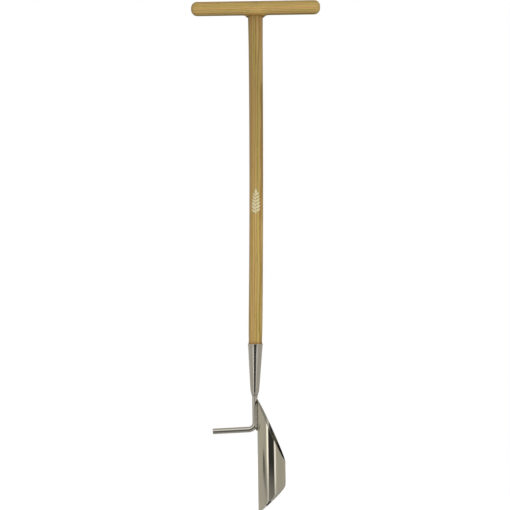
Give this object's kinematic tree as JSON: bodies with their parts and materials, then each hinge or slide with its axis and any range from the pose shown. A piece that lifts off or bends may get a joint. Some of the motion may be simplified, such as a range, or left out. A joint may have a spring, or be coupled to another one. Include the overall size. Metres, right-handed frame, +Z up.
{
  "type": "hand weeder",
  "caption": "Long-handled hand weeder with a wooden T-grip and shaft, conical steel socket, bent rod with foot peg, and an obliquely cut steel tube as blade.",
  "frame": {"origin": "on the shaft's line, level with the blade's tip: the middle of the box's lowest side", "axes": "+Z up the shaft towards the T-grip, the T-grip lies along X, the foot peg points to -X and the blade is on the +X side, -Y is the front"},
  "size_m": [0.291, 0.0624, 1.147],
  "materials": {
    "ash_grip": "oiled ash, grain along the bar, satin",
    "ash_shaft": "oiled ash, grain along the shaft, satin, with a small pale printed sprig",
    "print_ink": "pale cream printed ink",
    "wedge_wood": "ash like the shaft, a shade darker, end grain",
    "polished_steel": "mirror-polished stainless steel, no plating",
    "screw_steel": "bright stainless screw",
    "weld_steel": "rippled stainless weld bead, lightly tinted"
  },
  "bodies": {
    "root": {"grip": "ash_grip", "tenon_wedge": "wedge_wood", "shaft": "ash_shaft", "socket": "polished_steel", "socket_screw": "screw_steel", "socket_weld": "weld_steel", "neck_rod": "polished_steel", "blade": "polished_steel", "blade_weld_front": "weld_steel", "blade_weld_rear": "weld_steel", "blade_weld_toe": "weld_steel"}
  },
  "joints": []
}
